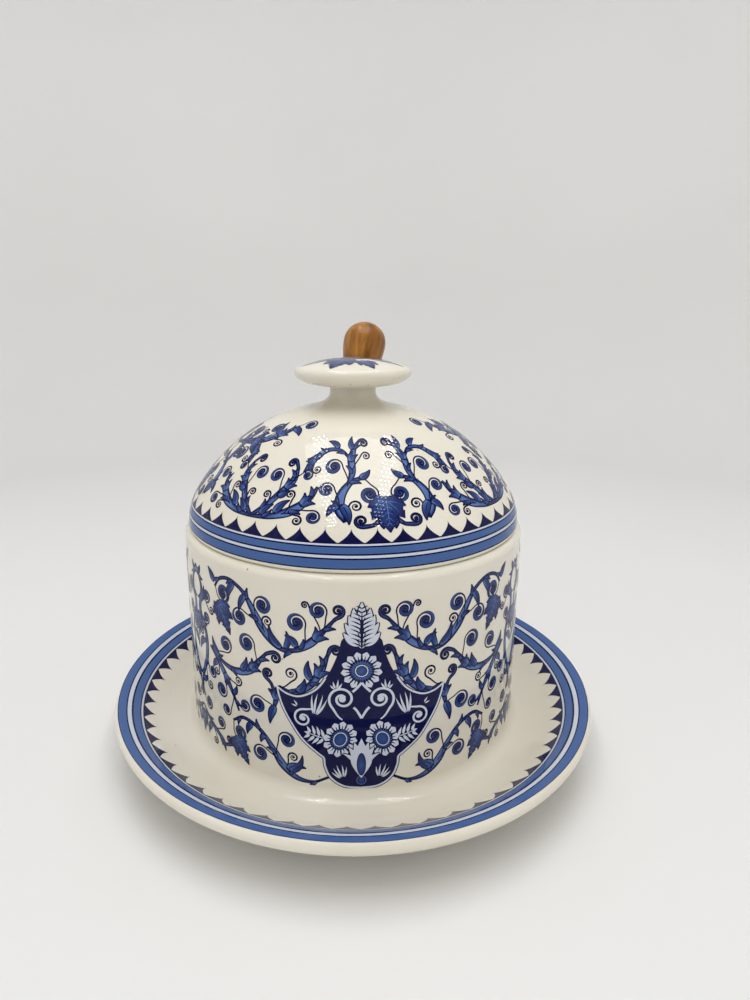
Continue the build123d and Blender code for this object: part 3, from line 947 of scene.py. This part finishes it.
def merged(*groups):
    """The sheets of several groups of wrapped prints, ink by ink."""
    return {ink: [sheet for group in groups for sheet in group[ink]] for ink in INKS}


def clip(points, faces, values, margin_test):
    """Cuts away the part of each face where margin_test is negative. values are carried to new points."""
    distance = margin_test(points)
    added_points, added_values, kept = [], [], []
    for face in faces:
        signs = distance[face] >= 0
        if signs.all():
            kept.append(list(face))
            continue
        if not signs.any():
            continue
        corners = []
        for i, here in enumerate(face):
            there = face[(i + 1) % len(face)]
            if distance[here] >= 0:
                corners.append(here)
            if (distance[here] >= 0) != (distance[there] >= 0):
                t = distance[here] / (distance[here] - distance[there])
                corners.append(len(points) + len(added_points))
                added_points.append(points[here] * (1 - t) + points[there] * t)
                added_values.append(values[here] * (1 - t) + values[there] * t)
        kept.append(corners)
    if added_points:
        points = np.vstack([points, added_points])
        values = np.vstack([values, added_values])
    return points, kept, values


def printed_pieces(name, sheets, body, cut=None):
    """One piece for each ink, of all its sheets, riding on a body."""
    pieces = []
    for ink in INKS:
        if not sheets[ink]:
            continue
        points, values, faces, count = [], [], [], 0
        for places, normals, shade in sheets[ink]:
            rows, columns = places.shape[:2]
            index = count + np.arange(rows * columns).reshape(rows, columns)
            quads = np.stack([index[:-1, :-1], index[:-1, 1:], index[1:, 1:], index[1:, :-1]], axis=-1)
            points.append(places.reshape(-1, 3))
            values.append(np.column_stack([normals.reshape(-1, 3), shade.reshape(-1)]))
            faces.append(quads.reshape(-1, 4))
            count += rows * columns
        points, values, faces = np.vstack(points), np.vstack(values), np.vstack(faces)
        a, b, c, d = [points[faces[:, i]] for i in range(4)]
        inward = np.sum(np.cross(c - a, d - b) * values[faces[:, 0], :3], axis=1) < 0
        faces[inward] = faces[inward][:, ::-1]
        if cut:
            points, faces, values = clip(points, faces, values, cut)
        obj = add_object(f"{name}_{ink}", points * MM, [list(map(int, face)) for face in faces])
        shade = obj.data.attributes.new("shade", "FLOAT", "POINT")
        shade.data.foreach_set("value", np.ascontiguousarray(values[:, 3], np.float32))
        obj.data.normals_split_custom_set_from_vertices([tuple(n) for n in values[:, :3]])
        obj.data.materials.append(INK_MATERIALS[ink])
        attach(obj, body)
        pieces.append(obj)
    return pieces


def rings(surface, table):
    """Printed lines and bands right round a surface, from (first length, last length, ink, layer) rows."""
    sheets = {name: [] for name in INKS}
    for first, last, ink_name, layer in table:
        rows = max(1, math.ceil(abs(last - first) / BAND_STEP))
        along = np.linspace(first, last, rows + 1)[:, None]
        azimuth = np.linspace(0, 2 * math.pi, BODY_SEGMENTS + 1)[None, :]
        azimuth, along = azimuth + 0 * along, along + 0 * azimuth
        places, normals = surface.place(azimuth, along, layer)
        shade = BAND_SHADE if ink_name == "blue" else 0.0
        sheets[ink_name].append((places, normals, np.full(azimuth.shape, shade)))
    return sheets


def teeth(surface, base, tip, count, phase, layer):
    """A ring of dark teeth with hollow sides, from base to tip, both lengths along the surface."""
    t = np.linspace(0, 1, 11)[:, None]
    across = np.linspace(-1, 1, 5)[None, :]
    half = np.maximum((1 - t)**1.7, 0.004) * 180.0 / count
    sheets = {name: [] for name in INKS}
    for i in range(count):
        azimuth = np.radians(phase + i * 360.0 / count + half * across)
        along = base + (tip - base) * t + 0 * across
        places, normals = surface.place(azimuth, along, layer)
        sheets["navy"].append((places, normals, np.zeros(azimuth.shape)))
    return sheets


# ---------------------------------------------------------------- materials
class Look:
    """A Principled material with helpers for its node tree."""

    def __init__(self, name, settings):
        self.material = bpy.data.materials.new(name)
        self.material.use_nodes = True
        self.tree = self.material.node_tree
        self.shader = self.tree.nodes["Principled BSDF"]
        for socket, value in settings.items():
            self.shader.inputs[socket].default_value = value

    def add(self, kind, inputs=None, **settings):
        """A node with its settings, and its inputs as values or as other nodes' outputs."""
        node = self.tree.nodes.new(kind)
        for key, value in settings.items():
            setattr(node, key, value)
        for socket, value in (inputs or {}).items():
            self.set(node.inputs[socket], value)
        return node

    def set(self, socket, value):
        """Gives a socket a value, or links an output to it."""
        if isinstance(value, bpy.types.NodeSocket):
            self.tree.links.new(value, socket)
        else:
            socket.default_value = value

    def place(self):
        """Positions in the object's own frame, in metres."""
        return self.add("ShaderNodeTexCoord").outputs["Object"]

    def noise(self, where, scale, detail=3.0, roughness=0.5):
        """A smooth noise from 0 to 1."""
        node = self.add("ShaderNodeTexNoise", {"Vector": where, "Scale": scale, "Detail": detail,
                                               "Roughness": roughness})
        return node.outputs["Fac"]

    def ramp(self, factor, *stops):
        """A colour ramp of (position, colour) stops."""
        node = self.add("ShaderNodeValToRGB", {"Fac": factor})
        elements = node.color_ramp.elements
        while len(elements) < len(stops):
            elements.new(0.5)
        for element, (position, colour) in zip(elements, stops):
            element.position = position
            element.color = (*colour, 1)
        return node.outputs["Color"]

    def mix(self, factor, a, b, blend="MIX"):
        """One colour mixed into another."""
        node = self.add("ShaderNodeMix", data_type="RGBA", blend_type=blend)
        for index, value in ((0, factor), (6, a), (7, b)):
            if isinstance(value, tuple):
                value = (*value, 1)
            self.set(node.inputs[index], value)
        return node.outputs[2]

    def range(self, value, low, high, to_low=0.0, to_high=1.0):
        """A value stretched from one range to another."""
        node = self.add("ShaderNodeMapRange", {"Value": value, "From Min": low, "From Max": high,
                                               "To Min": to_low, "To Max": to_high})
        return node.outputs["Result"]

    def math(self, operation, a, b):
        """Two values combined."""
        node = self.add("ShaderNodeMath", operation=operation)
        self.set(node.inputs[0], a)
        self.set(node.inputs[1], b)
        return node.outputs[0]

    def bump(self, height, strength, distance):
        """A bump linked to the shader."""
        node = self.add("ShaderNodeBump", {"Height": height, "Strength": strength, "Distance": distance})
        self.set(self.shader.inputs["Normal"], node.outputs["Normal"])


CREAM_LIGHT = (0.820, 0.782, 0.682)
CREAM_WARM = (0.765, 0.715, 0.600)
SPECK = (0.16, 0.09, 0.05)
NAVY = (0.0055, 0.0065, 0.052)
NAVY_SOFT = (0.011, 0.015, 0.095)
MID_BLUE = (0.034, 0.072, 0.230)
LIGHT_BLUE = (0.110, 0.195, 0.430)
BAND_BLUE = (0.065, 0.132, 0.337)
PALE = (0.620, 0.655, 0.740)
PALE_LIGHT = (0.67, 0.70, 0.77)
WOOD_DARK = (0.150, 0.050, 0.006)
WOOD_MIDDLE = (0.295, 0.113, 0.014)
WOOD_LIGHT = (0.470, 0.208, 0.038)
WOOD_PORE = (0.130, 0.055, 0.020)
STEEL_DARK = (0.50, 0.50, 0.51)
STEEL_LIGHT = (0.66, 0.66, 0.67)
STEEL_STAIN = (0.44, 0.43, 0.42)
CLOTH_DARK = (0.795, 0.790, 0.780)
CLOTH_LIGHT = (0.825, 0.820, 0.810)
GLOSS = {"Roughness": 0.05, "IOR": 1.47}
INK_SHEEN = 0.16


def ripple(look, where):
    """The faint unevenness of a fired glaze, shared by the ware and the print under it."""
    look.set(look.shader.inputs["Roughness"], look.range(look.noise(where, 45), 0.3, 0.7, 0.02, 0.045))
    look.bump(look.noise(where, 70, detail=1.5), 0.05, 0.0006)


def glaze():
    """Cream glaze with soft shade changes, a few brown specks and a faint ripple."""
    look = Look("cream_glaze", GLOSS)
    where = look.place()
    body = look.mix(look.range(look.noise(where, 22), 0.3, 0.7), CREAM_LIGHT, CREAM_WARM)
    cells = look.add("ShaderNodeTexVoronoi", {"Vector": where, "Scale": 230.0})
    chance = look.add("ShaderNodeSeparateColor", {"Color": cells.outputs["Color"]}).outputs[0]
    near = look.range(cells.outputs["Distance"], 0.075, 0.035)
    speck = look.math("MULTIPLY", near, look.range(chance, 0.72, 0.80))
    look.set(look.shader.inputs["Base Color"], look.mix(look.math("MULTIPLY", speck, 0.8), body, SPECK))
    ripple(look, where)
    return look.material


def ink(name, *stops):
    """Printed ink under the glaze, from dark to light by the print's own shade and a little noise."""
    look = Look(f"{name}_ink", {**GLOSS, "Specular IOR Level": INK_SHEEN})
    where = look.place()
    cloud = look.range(look.noise(where, 330, detail=4), 0.25, 0.75, -0.07, 0.07)
    shade = look.add("ShaderNodeAttribute", attribute_name="shade").outputs["Fac"]
    amount = look.math("ADD", shade, cloud)
    look.set(look.shader.inputs["Base Color"], look.ramp(amount, *stops))
    ripple(look, where)
    return look.material


def spreader_place(look):
    """Positions turned so that Z runs up the spreader."""
    turn = SPREADER_UP.rotation_difference(Vector((0, 0, 1))).to_euler()
    node = look.add("ShaderNodeMapping", {"Vector": look.place(), "Rotation": turn})
    return node.outputs["Vector"]


def stretched(look, where, scale):
    """Positions scaled unevenly, for grain."""
    return look.add("ShaderNodeMapping", {"Vector": where, "Scale": scale}).outputs["Vector"]


def wood():
    """Varnished honey-brown hardwood with fine grain along the handle."""
    look = Look("turned_wood", {"IOR": 1.45, "Coat Weight": 0.28, "Coat Roughness": 0.16,
                                "Specular IOR Level": 0.25})
    where = spreader_place(look)
    bands = look.noise(stretched(look, where, (260, 260, 22)), 1.0, detail=4, roughness=0.6)
    pores = look.noise(stretched(look, where, (1400, 1400, 90)), 1.0, detail=2)
    base = look.ramp(bands, (0.32, WOOD_DARK), (0.50, WOOD_MIDDLE), (0.68, WOOD_LIGHT))
    base = look.mix(look.range(pores, 0.42, 0.30, 0.0, 0.55), base, WOOD_PORE)
    look.set(look.shader.inputs["Base Color"], base)
    look.set(look.shader.inputs["Roughness"], look.range(bands, 0.3, 0.7, 0.30, 0.42))
    look.bump(pores, 0.15, 0.0002)
    return look.material


def steel():
    """Satin steel, brushed across the spreader."""
    look = Look("brushed_steel", {"Metallic": 1.0})
    where = spreader_place(look)
    lines = look.noise(stretched(look, where, (60, 60, 2600)), 1.0, detail=3)
    blotch = look.noise(where, 90, detail=2)
    shade = look.mix(look.range(lines, 0.3, 0.7), STEEL_DARK, STEEL_LIGHT)
    stain = look.range(blotch, 0.5, 0.8, 0.0, 0.4)
    look.set(look.shader.inputs["Base Color"], look.mix(stain, shade, STEEL_STAIN))
    look.set(look.shader.inputs["Roughness"], look.range(lines, 0.3, 0.7, 0.20, 0.36))
    look.bump(lines, 0.08, 0.00005)
    return look.material


GLAZE_MATERIAL = glaze()
INK_MATERIALS = {
    "navy": ink("navy", (0.0, NAVY), (0.2, NAVY_SOFT)),
    "blue": ink("blue", (0.0, NAVY_SOFT), (0.42, MID_BLUE), (0.8, LIGHT_BLUE), (1.0, BAND_BLUE)),
    "pale": ink("pale", (0.0, PALE), (0.1, PALE_LIGHT)),
}


# ---------------------------------------------------------------- glazed bodies
def glazed(name, node, body, outline, segments=BODY_SEGMENTS, closed=False):
    """A glazed turned piece that stands for a CAD node."""
    obj = lathe(name, outline, segments, closed)
    obj.data.materials.append(GLAZE_MATERIAL)
    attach(obj, body)
    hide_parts(node)
    return obj


glazed("glazed_underplate", "underplate", "base", underplate_outline())
glazed("glazed_pot_wall", "pot_wall", "base", pot_wall_outline(), closed=True)
dome = glazed("glazed_lid_dome", "lid_dome", "lid", lid_dome_outline())
cut_notch(dome)
glazed("glazed_lid_knob", "lid_knob", "lid", lid_knob_outline(), KNOB_SEGMENTS)

SPREADER_LOOKS = (("spreader_blade", steel()), ("spreader_ferrule", steel()), ("spreader_handle", wood()))
for node, material in SPREADER_LOOKS:
    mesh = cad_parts[node].data
    mesh.materials.clear()
    mesh.materials.append(material)

# ---------------------------------------------------------------- prints on the pot
pot_heights = np.arange(UPSTAND_TOP, SEAT_HEIGHT - OUTER_ROLL, 1.0)
pot_face = Turned([(POT_RADIUS, height) for height in pot_heights], UPSTAND_TOP)
POT_FRONT = 2.4
POT_TURNS = [POT_FRONT + 120 * i for i in range(3)]


def pot_chart(points):
    """Azimuth and height on the pot."""
    return points[..., 0] / POT_RADIUS, points[..., 1]


pot_prints = grow(POT_VINES)
for root, tip, width in POT_LEAVES:
    pot_prints += maple(root, tip, width)
pot_prints += cartouche() + cartouche_sides()
printed_pieces("pot_print", merged(
    wrapped(pot_face, pot_chart, pot_prints, POT_TURNS),
    wrapped(pot_face, pot_chart, cartouche_middle(), POT_TURNS, mirrored=False),
), "base")

# ---------------------------------------------------------------- prints on the lid
lid_rim = arc_through(RIM_FOOT, RIM_CORNER, (LID_RADIUS, SHOULDER_HEIGHT), 8)
lid_rim_length = sum(math.dist(a, b) for a, b in zip(lid_rim, lid_rim[1:]))
lid_face = Turned(lid_rim[:-1] + dome_curve(0), -lid_rim_length)
LID_FRONT = 11.0
LID_TURNS = [LID_FRONT + 90 * i for i in range(4)]


def lid_chart(points):
    """Azimuth and length up the lid, for the lower motifs."""
    return points[..., 0] / LID_SPAN, points[..., 1]


def spray_chart(points):
    """Azimuth and length up the lid, for the upper sprays."""
    return points[..., 0] / SPRAY_SPAN, points[..., 1]


lid_prints = grow(LID_VINES, 1.2)
lid_middle = maple((0, 18.6), (0, 9.0), 1.15)
lid_low = grow([
    Vine([(0.6, 15.4, 0.3), (1.8, 12.6, 0.55), (3.8, 10.8, 0.3)], [], [], (6.2, 12.2, 1.6, False), [], []),
])
printed_pieces("lid_print", merged(
    wrapped(lid_face, lid_chart, lid_prints + lid_low, LID_TURNS),
    wrapped(lid_face, lid_chart, lid_middle, LID_TURNS, mirrored=False),
    wrapped(lid_face, spray_chart, grow(SPRAY_VINES, 1.2), [LID_FRONT + 90, LID_FRONT - 90]),
), "lid", cut=clear_of_notch)

LID_TEETH = 47
LID_TEETH_SPAN = (6.63, 10.25)
# rings on the lid from the teeth down, in lengths up its face
LID_RINGS = [
    (6.75, 6.45, "navy", 1),
    (6.45, 5.95, "pale", 0),
    (6.00, 5.62, "navy", 1),
    (5.90, 3.80, "blue", 0),
    (4.05, 3.66, "navy", 1),
    (3.66, 2.98, "pale", 0),
    (3.00, 2.62, "navy", 1),
    (2.80, 0.35, "blue", 0),
    (0.45, 0.12, "navy", 1),
]
printed_pieces("lid_bands", merged(
    teeth(lid_face, *LID_TEETH_SPAN, LID_TEETH, LID_FRONT - 180 / LID_TEETH, 2),
    rings(lid_face, LID_RINGS),
), "lid", cut=clear_of_notch)

# ---------------------------------------------------------------- prints on the knob
knob_face = Turned(bezier(KNOB_SHOULDER, *KNOB_CROWN_PULLS, (0, KNOB_TOP), steps=30))


def knob_chart(points):
    """Azimuth and length inwards on the knob's crown, for prints drawn in plan."""
    return (np.arctan2(points[..., 0], -points[..., 1]),
            knob_face.along_at(np.hypot(points[..., 0], points[..., 1])))


# broad and long leaves on the knob, each (root, tip, width), seen from above
KNOB_BROAD = [
    ((-2.0, -4.6), (-6.4, -14.4), 1.15),
    ((2.6, -6.4), (6.0, -14.5), 0.90),
    ((3.0, 4.0), (9.0, 11.6), 1.1),
    ((-3.4, 3.6), (-9.4, 11.0), 1.1),
]
KNOB_LONG = [
    ((-4.2, -1.2), (-15.4, -4.6), 3.4),
    ((4.2, -2.0), (15.0, -5.6), 3.6),
    ((0.0, 5.0), (0.6, 14.6), 3.2),
    ((4.6, 1.0), (13.4, 3.2), 2.6),
    ((-4.6, 1.0), (-13.4, 3.0), 2.6),
]
KNOB_RAYS = 9


def knob_leaves():
    """Leaves that radiate from the middle of the knob."""
    prints = []
    for root, tip, width in KNOB_BROAD:
        prints += maple(root, tip, width, layer=1)
    for root, tip, width in KNOB_LONG:
        prints += leaf(root, tip, width, 0.06, 7, layer=0.5)
    prints.append(disc((0, 0), 4.6, "navy", 4))
    prints.append(disc((0, 0), 4.2, "blue", 5, lambda r: 0.55 - 0.3 * r))
    for i in range(KNOB_RAYS):
        angle = 2 * math.pi * i / KNOB_RAYS
        way = np.array([math.cos(angle), math.sin(angle)])
        prints.append(petal(way * 1.2, way * 4.0, 1.1, ink="blue",
                            shade=lambda t, x, w: 0.8 - 0.5 * t, step=FINE))
    return prints


printed_pieces("knob_print", wrapped(knob_face, knob_chart, knob_leaves(), mirrored=False), "lid")

# ---------------------------------------------------------------- prints on the plate
plate_face = Turned(underplate_flare()[::-1])
PLATE_TEETH = 60
PLATE_TEETH_RADII = (67.95, 64.45)
PLATE_PHASE = -13.3
# rings on the plate from its edge inwards, in radii
PLATE_RINGS = [
    (75.45, 75.20, "navy", 1),
    (75.30, 72.75, "blue", 0),
    (72.95, 72.60, "navy", 1),
    (72.60, 71.40, "pale", 0),
    (71.45, 70.95, "navy", 1),
    (71.10, 68.85, "blue", 0),
    (69.00, 68.70, "navy", 1),
    (68.70, 68.15, "pale", 0),
    (68.20, 67.85, "navy", 1),
]
printed_pieces("plate_bands", merged(
    rings(plate_face, [(plate_face.along_at(outer), plate_face.along_at(inner), *rest)
                       for outer, inner, *rest in PLATE_RINGS]),
    teeth(plate_face, *[plate_face.along_at(radius) for radius in PLATE_TEETH_RADII],
          PLATE_TEETH, PLATE_PHASE, 2),
), "base")


# ---------------------------------------------------------------- stage, lights and camera
TENT_FLOOR = 450.0
TENT_BEND = 170.0
TENT_HEIGHT = 1100.0
TENT_FRONT_FROM = 0.30
TENT_FRONT_SPREAD = 0.75
WORLD_COLOUR = (0.93, 0.94, 0.95, 1)
WORLD_STRENGTH = 0.13

# the soft lamps, in metres, each (name, place, aim, size, power, whether gloss mirrors it)
LAMPS = [
    ("overhead", (0.0, -0.06, 0.80), (0, 0, 0.05), (0.62, 0.70), 2.70, True),
    ("front", (0.05, -0.52, 0.42), (0, 0, 0.06), (0.50, 0.30), 0.06, False),
]

# the lamp chips overhead, in metres
CHIP_HEIGHT = 0.62
CHIP_HALF = 0.0047
CHIP_GAP = (0.023, 0.031)
CHIP_ROWS = 25
CHIP_COLUMNS = 3
CHIP_START = -0.50
CHIP_LINES = (-0.155, 0.165)
CHIP_GLOW = 30.0

# the camera, in metres and radians
CAMERA_PLACE = (0, -0.198739, 0.1327)
CAMERA_DIP = 0.239657
CAMERA_LENS = 23.377
CAMERA_SHIFT = (0.022, -0.0236)


def tent():
    """A light tent: a pale floor that curves up into a wall. Its front doesn't show in the ware's gloss."""
    outline = [(0, 0)] + [(r, 0) for r in np.linspace(60, TENT_FLOOR, 14)]
    outline += arc((TENT_FLOOR, TENT_BEND), TENT_BEND, -90, 0, 16)[1:]
    outline.append((TENT_FLOOR + TENT_BEND, TENT_HEIGHT))
    obj = lathe("light_tent", outline, 96)
    front = obj.copy()
    front.data = obj.data.copy()
    front.name = "light_tent_front"
    SCENE.collection.objects.link(front)
    front.visible_glossy = False
    for part, at_front in ((obj, False), (front, True)):
        work = bmesh.new()
        work.from_mesh(part.data)
        dropped = [f for f in work.faces if in_front(f.calc_center_median()) != at_front]
        bmesh.ops.delete(work, geom=dropped, context="FACES")
        work.to_mesh(part.data)
        work.free()
    look = Look("tent_cloth", {"Roughness": 0.9, "Specular IOR Level": 0.15})
    where = look.place()
    look.set(look.shader.inputs["Base Color"],
             look.mix(look.range(look.noise(where, 3.0), 0.3, 0.7), CLOTH_DARK, CLOTH_LIGHT))
    look.bump(look.noise(where, 180), 0.03, 0.0005)
    for part in (obj, front):
        part.data.materials.append(look.material)


def in_front(point):
    """Whether a point of the tent is on its front wall."""
    return point.y < -TENT_FRONT_FROM and abs(point.x) < TENT_FRONT_SPREAD * -point.y


def area_light(name, place, aim, size, power, in_gloss):
    """A soft rectangular lamp."""
    data = bpy.data.lights.new(name, "AREA")
    data.shape = "RECTANGLE"
    data.size, data.size_y = size
    data.energy = power
    obj = bpy.data.objects.new(name, data)
    obj.location = place
    obj.rotation_euler = (Vector(aim) - Vector(place)).to_track_quat("-Z", "Y").to_euler()
    obj.visible_glossy = in_gloss
    SCENE.collection.objects.link(obj)


def lamp_chips():
    """Two lines of small lamp chips overhead, which the glossy lid mirrors as dotted lines."""
    corners = [(CHIP_HALF * x, CHIP_HALF * y) for x, y in ((-1, -1), (1, -1), (1, 1), (-1, 1))]
    vertices, faces = [], []
    for aside in CHIP_LINES:
        for row in range(CHIP_ROWS):
            for column in range(CHIP_COLUMNS):
                x = aside + (column - 1 + 0.5 * (row % 2)) * CHIP_GAP[0]
                y = CHIP_START + row * CHIP_GAP[1]
                start = len(vertices)
                vertices += [(x + across, y + along, CHIP_HEIGHT) for across, along in corners]
                faces.append([start, start + 3, start + 2, start + 1])
    obj = add_object("lamp_chips", vertices, faces)
    material = bpy.data.materials.new("lamp_glow")
    material.use_nodes = True
    shader = material.node_tree.nodes["Principled BSDF"]
    shader.inputs["Emission Color"].default_value = (1, 1, 1, 1)
    shader.inputs["Emission Strength"].default_value = CHIP_GLOW
    obj.data.materials.append(material)
    obj.visible_camera = False


def camera():
    """The main view: close, a little above the lid's rim, looking slightly down."""
    data = bpy.data.cameras.new("camera")
    data.lens = CAMERA_LENS
    data.shift_x, data.shift_y = CAMERA_SHIFT
    data.clip_start = 0.01
    obj = bpy.data.objects.new("camera", data)
    obj.location = CAMERA_PLACE
    obj.rotation_euler = (math.pi / 2 - CAMERA_DIP, 0, 0)
    SCENE.collection.objects.link(obj)
    SCENE.camera = obj


tent()
for lamp in LAMPS:
    area_light(*lamp)
lamp_chips()
camera()

world = bpy.data.worlds.new("studio")
world.use_nodes = True
world.node_tree.nodes["Background"].inputs["Color"].default_value = WORLD_COLOUR
world.node_tree.nodes["Background"].inputs["Strength"].default_value = WORLD_STRENGTH
SCENE.world = world
SCENE.view_settings.view_transform = "Standard"
